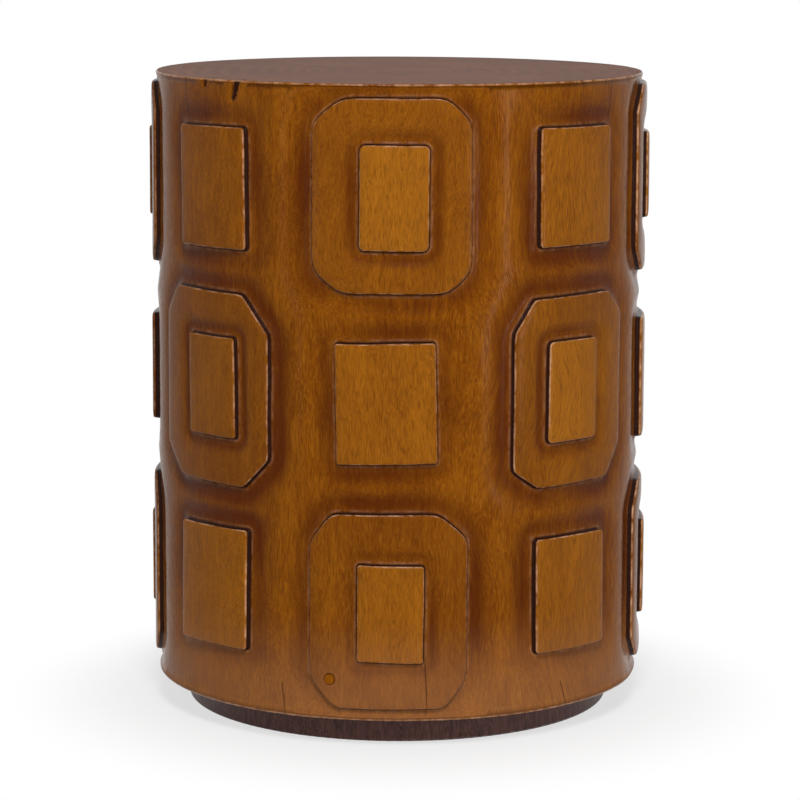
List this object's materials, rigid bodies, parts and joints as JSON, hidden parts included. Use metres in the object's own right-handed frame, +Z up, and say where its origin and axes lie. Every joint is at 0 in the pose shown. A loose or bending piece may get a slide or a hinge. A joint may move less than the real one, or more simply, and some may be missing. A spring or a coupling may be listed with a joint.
{
  "type": "accent table",
  "caption": "Round solid wood accent table: a carved log drum with raised octagons and rectangles, on a recessed dark plinth.",
  "frame": {"origin": "on the floor, under the middle of the table", "axes": "+Z up along the drum's axis, -Y towards the front column of octagons"},
  "size_m": [0.414, 0.414, 0.525],
  "materials": {
    "carved_wood": "satin",
    "plinth_wood": "satin",
    "plug_wood": "satin",
    "screw_steel": "satin",
    "glide_nylon": "matte",
    "nail_steel": "satin"
  },
  "bodies": {
    "root": {"drum_body": "carved_wood", "plinth": "plinth_wood", "wood_plug": "plug_wood", "plinth_screws": "screw_steel", "glide_1": "glide_nylon", "glide_2": "glide_nylon", "glide_3": "glide_nylon", "glide_4": "glide_nylon", "glide_nails": "nail_steel"}
  },
  "joints": []
}
